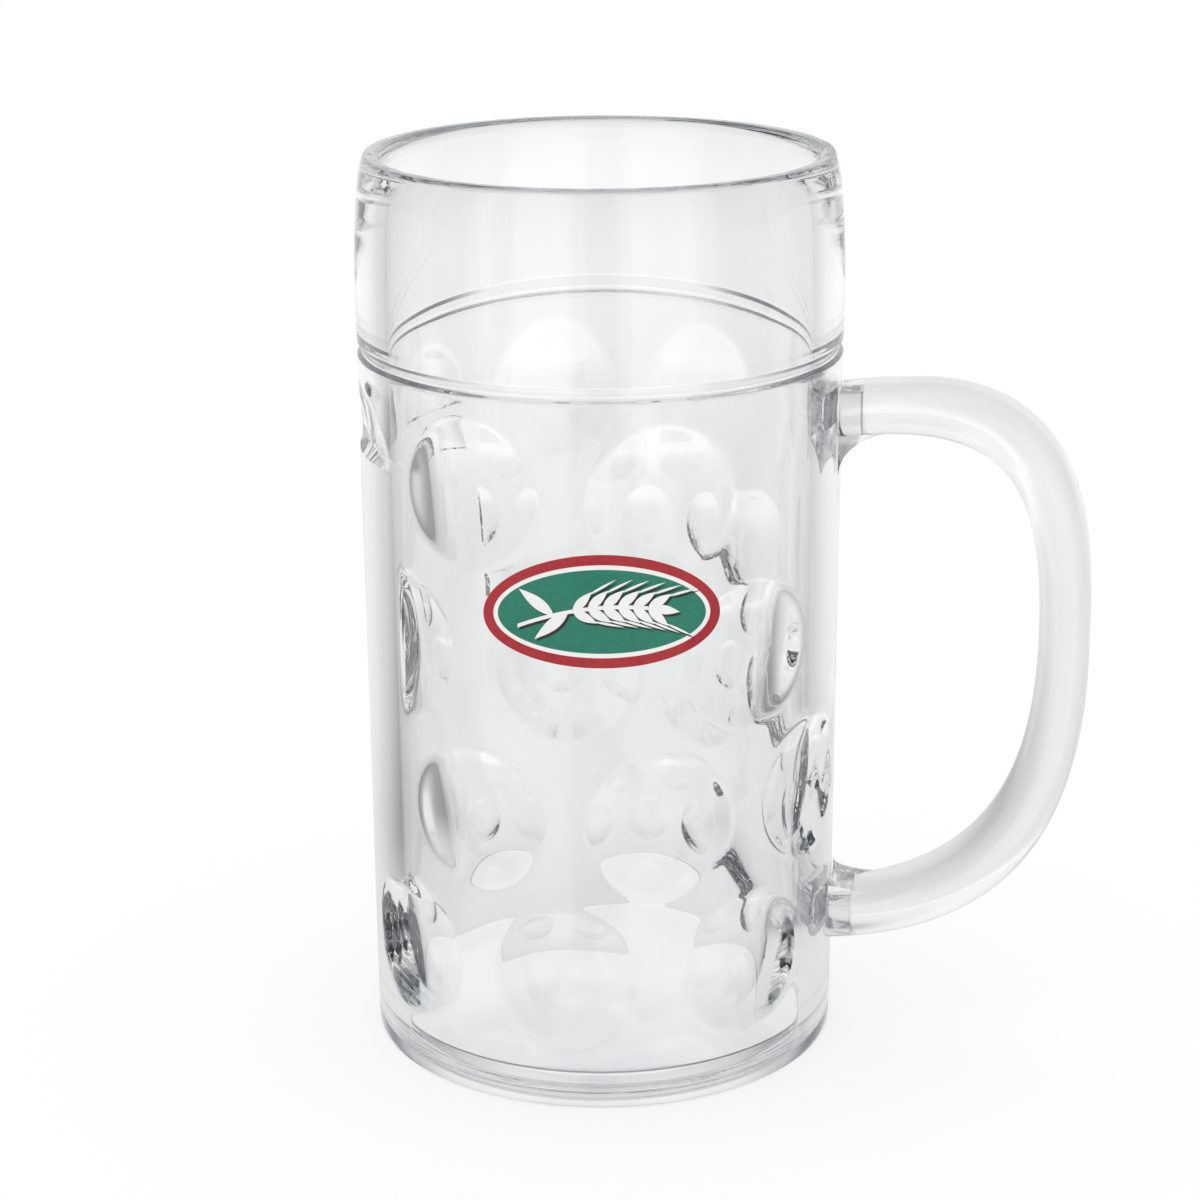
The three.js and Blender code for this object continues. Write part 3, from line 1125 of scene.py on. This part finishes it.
@dataclass
class Badge:
    """A printed oval on the front: white ground, red border, green field and a barley ear."""

    barrel: Barrel
    height: float = 113.3
    half_width: float = 24.6
    half_height: float = 11.7
    border: float = 2.1
    key_line: float = 0.95
    film_lift: float = 0.02
    film_thickness: float = 0.03
    # Degrees round the badge, and millimetres above and below it
    film_margin: float = 6.0
    film_above_bore: float = 1.0
    reach: float = 14.0
    oval_points: int = 96
    grain_pairs: int = 6
    grain_length: float = 5.6
    grain_width: float = 1.9
    grain_turn: float = 36.0
    grain_pitch: float = 3.1
    first_grain: float = -6.0
    end_grain_lead: float = 1.0
    end_grain_turn: float = -8.0
    stem_start: float = -17.5
    stem_width: float = 0.8
    stem_top: float = 1.0
    stem_top_place: float = 4.0
    stem_bow: float = 0.008
    stem_steps: int = 24
    leaf_length: float = 9.0
    leaf_width: float = 2.4
    leaf_turn: float = 38.0
    leaf_setback: float = 2.5
    leaf_stagger: float = 1.5
    awn_length: float = 6.5
    awn_width: float = 0.5
    awn_start: float = 0.85
    awn_spread: float = 0.55
    blade_steps: int = 12
    blade_belly: float = 0.8
    shade_offset: Point = (0.45, -0.5)

    def place(self) -> Matrix:
        """Plane of the print: across, up and out towards the viewer.

        Returns:
            The matrix from the print's own plane to the frame.
        """
        matrix = Matrix(viewer_axes(VIEW_TURN, VIEW_PITCH)).transposed().to_4x4()
        wall = towards(VIEW_TURN) * self.barrel.radius(self.height)
        matrix.translation = (wall + UP * self.height) * MM
        return matrix

    def film(self, name: str, level: int) -> Piece:
        """Lift a thin film off the front of the barrel.

        Args:
            name: Name of the film.
            level: Which layer of the print it is, counted from the wall.

        Returns:
            The closed film, larger than the badge.
        """
        Bench.pick(self.barrel.piece)
        bpy.ops.object.duplicate()
        film = bpy.context.object
        film.name = name
        half_turn = math.degrees(self.half_width / self.barrel.radius(self.height))
        for face in film.data.polygons:
            x, y, z = (part / MM for part in face.center)
            turn = math.degrees(math.atan2(x, -y)) - VIEW_TURN
            outside = math.hypot(x, y) > self.barrel.bore(z) + self.film_above_bore
            near = abs(z - self.height) < self.half_height + self.film_margin
            face.select = not (outside and near and abs(turn) < half_turn + self.film_margin)
        bpy.context.tool_settings.mesh_select_mode = (False, False, True)
        bpy.ops.object.mode_set(mode="EDIT")
        bpy.ops.mesh.delete(type="FACE")
        bpy.ops.mesh.select_all(action="SELECT")
        lift = self.film_lift + level * self.film_thickness
        bpy.ops.transform.shrink_fatten(value=lift * MM)
        bpy.ops.object.mode_set(mode="OBJECT")
        Bench.apply(film, "SOLIDIFY", thickness=self.film_thickness * MM, offset=1.0)
        return film

    def oval(self, inset: float) -> Piece:
        """Cut a slab to the badge's oval, set in by some millimetres.

        Args:
            inset: How far inside the badge's outline it lies.

        Returns:
            The closed slab.
        """
        wide, tall = self.half_width - inset, self.half_height - inset
        angles = [math.tau * step / self.oval_points for step in range(self.oval_points)]
        outline = [(wide * math.cos(angle), tall * math.sin(angle)) for angle in angles]
        return Bench.slab(outline, self.place(), self.reach)

    def blade(self, root: Point, turn: float, size: Point, shift: Point) -> Piece:
        """Cut a slab to a pointed blade.

        Args:
            root: Where the blade starts.
            turn: Its direction in degrees from across.
            size: Its length and its greatest width.
            shift: Offset of the whole blade.

        Returns:
            The slab, as long as the badge's reach is deep.
        """
        length, width = size
        cos, sin = math.cos(math.radians(turn)), math.sin(math.radians(turn))

        def side_at(u: float) -> Point:
            """Point on the blade's lower edge."""
            return u * length, -0.5 * width * math.sin(math.pi * u**self.blade_belly)

        edge = along(self.blade_steps, side_at)
        outline = edge + [(run, -side) for run, side in reversed(edge[1:-1])]
        x, y = root[0] + shift[0], root[1] + shift[1]
        turned = [(x + run * cos - side * sin, y + run * sin + side * cos) for run, side in outline]
        return Bench.slab(turned, self.place(), self.reach)

    def stem_rise(self, across: float) -> float:
        """Height of the bowed stem at a place across the badge."""
        return self.stem_top - self.stem_bow * (across - self.stem_top_place) ** 2

    def ear(self, shift: Point) -> Piece:
        """Join the stem, leaves, grains and awns of the ear into one slab.

        Args:
            shift: Offset of the whole ear.

        Returns:
            The closed slab.
        """
        last = self.first_grain + (self.grain_pairs - 1) * self.grain_pitch
        length, half = last - self.stem_start, self.stem_width / 2
        middle = along(self.stem_steps, lambda u: (self.stem_start + length * u, 0.0))
        lower = [(u + shift[0], self.stem_rise(u) - half + shift[1]) for u, _ in middle]
        upper = [(u + shift[0], self.stem_rise(u) + half + shift[1]) for u, _ in reversed(middle)]
        ear = Bench.slab(lower + upper, self.place(), self.reach)
        grain = (self.grain_length, self.grain_width)
        awn = (self.awn_length, self.awn_width)
        leaf = (self.leaf_length, self.leaf_width)
        reach = self.awn_start * self.grain_length
        blades = []
        for pair in range(self.grain_pairs):
            u = self.first_grain + pair * self.grain_pitch
            root = (u, self.stem_rise(u))
            lean = math.degrees(math.atan(-2.0 * self.stem_bow * (u - self.stem_top_place)))
            for side in (1, -1):
                turn = lean + side * self.grain_turn
                angle = math.radians(turn)
                tip = (root[0] + reach * math.cos(angle), root[1] + reach * math.sin(angle))
                blades.append((root, turn, grain))
                blades.append((tip, lean + self.awn_spread * side * self.grain_turn, awn))
        tip = (last + self.end_grain_lead, self.stem_rise(last))
        blades.append((tip, self.end_grain_turn, grain))
        for side in (1, -1):
            start = self.first_grain - self.leaf_setback - self.leaf_stagger * side
            blades.append(((start, self.stem_rise(start)), 180.0 - side * self.leaf_turn, leaf))
        for root, turn, size in blades:
            Bench.join(ear, self.blade(root, turn, size, shift), Join.UNION)
        return ear

    def build_layer(self, name: str, level: int, cutter: Piece, ink: PrintInk) -> None:
        """Cut one layer of the print out of its film and dress it.

        Args:
            name: Name of the layer.
            level: Which layer it is, counted from the wall.
            cutter: Slab that keeps the layer's shape.
            ink: The ink that it gets.
        """
        film = self.film(name, level)
        Bench.join(film, cutter, Join.INTERSECT)
        Bench.smooth(film)
        finish_piece(film, ink, None)

    def build(self) -> None:
        """Print the badge layer by layer."""
        self.build_layer("badge_ground", 0, self.oval(0.0), INK_WHITE)
        ring = self.oval(0.0)
        Bench.join(ring, self.oval(self.border), Join.DIFFERENCE)
        self.build_layer("badge_border", 1, ring, INK_RED)
        self.build_layer("badge_field", 1, self.oval(self.border + self.key_line), INK_GREEN)
        self.build_layer("badge_ear_shade", 2, self.ear(self.shade_offset), INK_DARK)
        self.build_layer("badge_ear", 3, self.ear((0.0, 0.0)), INK_WHITE)


@dataclass(frozen=True)
class Surround:
    """Brightness round the mug as its plastic sees it, by the turn away from the camera's side."""

    turn: float = 5.8
    stops: tuple[Point, ...] = (
        (0.0, 0.30), (8.0, 0.30), (14.0, 0.95), (53.0, 0.85), (64.0, 0.11), (108.0, 0.11),
        (130.0, 0.68), (150.0, 0.97), (164.0, 1.0), (174.0, 0.95), (180.0, 0.93),
    )

    def level(self, nodes: Nodes, direction: Socket) -> tuple[Socket, bpy.types.Node]:
        """Read the brightness in a direction.

        Args:
            nodes: The tree that is being laid out.
            direction: The direction or place that is read.

        Returns:
            The brightness, and the node that holds the turned direction's axes.
        """
        mapping = nodes.add("Mapping")
        nodes.feed(mapping, "Vector", direction)
        nodes.feed(mapping, "Rotation", (0.0, 0.0, -math.radians(self.turn)))
        axes = nodes.axes(mapping.outputs["Vector"])
        ahead = nodes.maths("MULTIPLY", axes.outputs["Y"], -1.0)
        angle = nodes.maths("ABSOLUTE", nodes.maths("ARCTAN2", axes.outputs["X"], ahead))
        ramp = nodes.add("ValToRGB")
        nodes.feed(ramp, 0, nodes.maths("DIVIDE", angle, math.pi))
        ramp.color_ramp.interpolation = "EASE"
        points = ramp.color_ramp.elements
        points[0].position, points[1].position = 0.0, 1.0
        for place, _ in self.stops[1:-1]:
            points.new(place / 180.0)
        for point, (_, value) in zip(points, self.stops):
            point.color = (value, value, value, 1.0)
        grey = nodes.add("RGBToBW")
        nodes.feed(grey, 0, ramp.outputs[0])
        return grey.outputs[0], axes


@dataclass
class Studio:
    """White floor, surrounding light and the camera."""

    camera_distance: float = 628.57
    camera_height: float = 300.018
    camera_roll: float = -0.349
    camera_clip: Point = (0.01, 50.0)
    lens: float = 88.43
    sensor: float = 36.0
    shift: float = -0.00152
    floor_drop: float = 0.3
    floor_size: float = 9000.0
    floor_albedo: float = 0.24
    floor_roughness: float = 0.9
    floor_level: float = 1.02
    # A painted pool of light on the floor under the mug, seen only off or through the plastic
    painted_pool_radius: float = 50.0
    painted_pool_edge: float = 8.0
    painted_pool_depths: Point = (-35.0, 5.0)
    painted_pool_levels: Point = (1.02, 1.15)
    # Painted floor brightness by distance, darker near the mug, seen only off or through the
    # plastic
    near_reach: Point = (70.0, 170.0)
    near_level: float = 0.78
    far_reach: Point = (250.0, 1300.0)
    far_levels: Point = (0.86, 1.12)
    sweep_rise: Point = (0.3, 0.6)
    sweep_drop: float = 0.5
    top_rise: Point = (0.45, 0.8)
    top_level: float = 0.18
    dark_range: Point = (0.05, 0.6)
    dark_tint: Colour = (0.8, 0.95, 1.15)
    white: Colour = (1.0, 1.0, 1.0)
    clear_bounces: int = 32
    glossy_bounces: int = 24
    surround: Surround = Surround()

    def place_camera(self) -> None:
        """Stand the camera where the photograph was taken."""
        across, up, out = viewer_axes(VIEW_TURN, VIEW_PITCH)
        roll = math.radians(self.camera_roll)
        right = across * math.cos(roll) + up * math.sin(roll)
        top = up * math.cos(roll) - across * math.sin(roll)
        Bench.clear()
        bpy.ops.object.camera_add()
        camera = bpy.context.object
        camera.name = "photo_camera"
        matrix = Matrix((right, top, out)).transposed().to_4x4()
        stand = towards(VIEW_TURN) * self.camera_distance
        matrix.translation = (stand + UP * self.camera_height) * MM
        camera.matrix_world = matrix
        camera.data.sensor_width = self.sensor
        camera.data.lens = self.lens
        camera.data.shift_x = self.shift
        camera.data.clip_start, camera.data.clip_end = self.camera_clip
        bpy.context.scene.camera = camera

    def lay_floor(self) -> None:
        """Lay the white floor, which keeps a soft shadow of the mug."""
        Bench.clear()
        bpy.ops.mesh.primitive_plane_add(
            size=self.floor_size * MM, location=(0, 0, -self.floor_drop * MM)
        )
        floor = bpy.context.object
        floor.name = "studio_floor"
        Bench.settle(floor)
        material, nodes, shader = Nodes.for_material("white_paper_floor")
        nodes.feed(shader, "Base Color", (*(self.floor_albedo,) * 3, 1.0))
        nodes.feed(shader, "Roughness", self.floor_roughness)
        nodes.feed(shader, "Specular IOR Level", 0.0)
        nodes.feed(shader, "Emission Color", (*self.white, 1.0))
        # Off or through the plastic, the floor's glow carries painted light and shade; to other
        # rays it glows evenly
        level = nodes.blend(self.floor_level, self.floor_painted_light(nodes), self.through_plastic(nodes))
        strength = nodes.maths("MULTIPLY", level, 1.0 - self.floor_albedo)
        nodes.feed(shader, "Emission Strength", strength)
        floor.data.materials.append(material)

    def floor_painted_light(self, nodes: Nodes) -> Socket:
        """Paint the floor's glow as the plastic sees it: painted shade near the mug and in darker
        sectors round it, and a painted pool of light under it.

        Args:
            nodes: The tree that is being laid out.

        Returns:
            The result's socket.
        """
        def reach(start: float, end: float) -> Point:
            """Turn a range into metres."""
            return start * MM, end * MM

        around, axes = self.surround.level(nodes, nodes.place())
        radius = nodes.radius(axes)
        far = nodes.span(radius, reach(*self.far_reach), self.far_levels)
        beyond = nodes.span(radius, reach(*self.near_reach), FROM_NONE)
        seen = nodes.blend(self.near_level, nodes.maths("MULTIPLY", around, far), beyond)
        painted_pool = nodes.span(axes.outputs["Y"], reach(*self.painted_pool_depths), self.painted_pool_levels)
        under = nodes.span(radius, reach(self.painted_pool_radius, self.painted_pool_radius + self.painted_pool_edge), TO_NONE)
        return nodes.blend(seen, painted_pool, under)

    @staticmethod
    def through_plastic(nodes: Nodes) -> Socket:
        """Tell the rays that come off or through a shiny piece from all others."""
        path = nodes.add("LightPath")
        return nodes.maths(
            "MAXIMUM", path.outputs["Is Glossy Ray"], path.outputs["Is Transmission Ray"]
        )

    def light_world(self) -> None:
        """Light the room evenly, and show the plastic darker sides that draw its edges."""
        world = bpy.data.worlds.new("studio_world")
        bpy.context.scene.world = world
        world.use_nodes = True
        nodes = Nodes(world.node_tree)
        back = world.node_tree.nodes["Background"]
        around, axes = self.surround.level(nodes, nodes.add("TexCoord").outputs["Generated"])
        fade = nodes.span(axes.outputs["Z"], self.sweep_rise, (1.0, self.sweep_drop))
        above = nodes.span(axes.outputs["Z"], self.top_rise, FROM_NONE)
        seen = nodes.blend(nodes.maths("MULTIPLY", around, fade), self.top_level, above)
        through = self.through_plastic(nodes)
        dark = nodes.maths("MULTIPLY", through, nodes.span(seen, self.dark_range, TO_NONE))
        nodes.feed(back, "Color", nodes.colours(self.white, self.dark_tint, dark))
        nodes.feed(back, "Strength", nodes.blend(1.0, seen, through))

    def build(self) -> None:
        """Set up the studio and the picture's tone."""
        self.place_camera()
        self.lay_floor()
        self.light_world()
        scene = bpy.context.scene
        scene.view_settings.view_transform = "Standard"
        scene.cycles.max_bounces = self.clear_bounces
        scene.cycles.transmission_bounces = self.clear_bounces
        scene.cycles.glossy_bounces = self.glossy_bounces


def main() -> None:
    """Build the mug and its studio, piece by piece."""
    logging.basicConfig(level=logging.INFO, format="%(name)s: %(message)s")
    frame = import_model()
    LOG.info("packed nodes: %s", ", ".join(sorted(frame["nodes"])))
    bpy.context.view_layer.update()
    barrel = Barrel()
    barrel.build()
    Base().build()
    Handle(barrel).build()
    Badge(barrel).build()
    Studio().build()


if __name__ == "__main__":
    main()
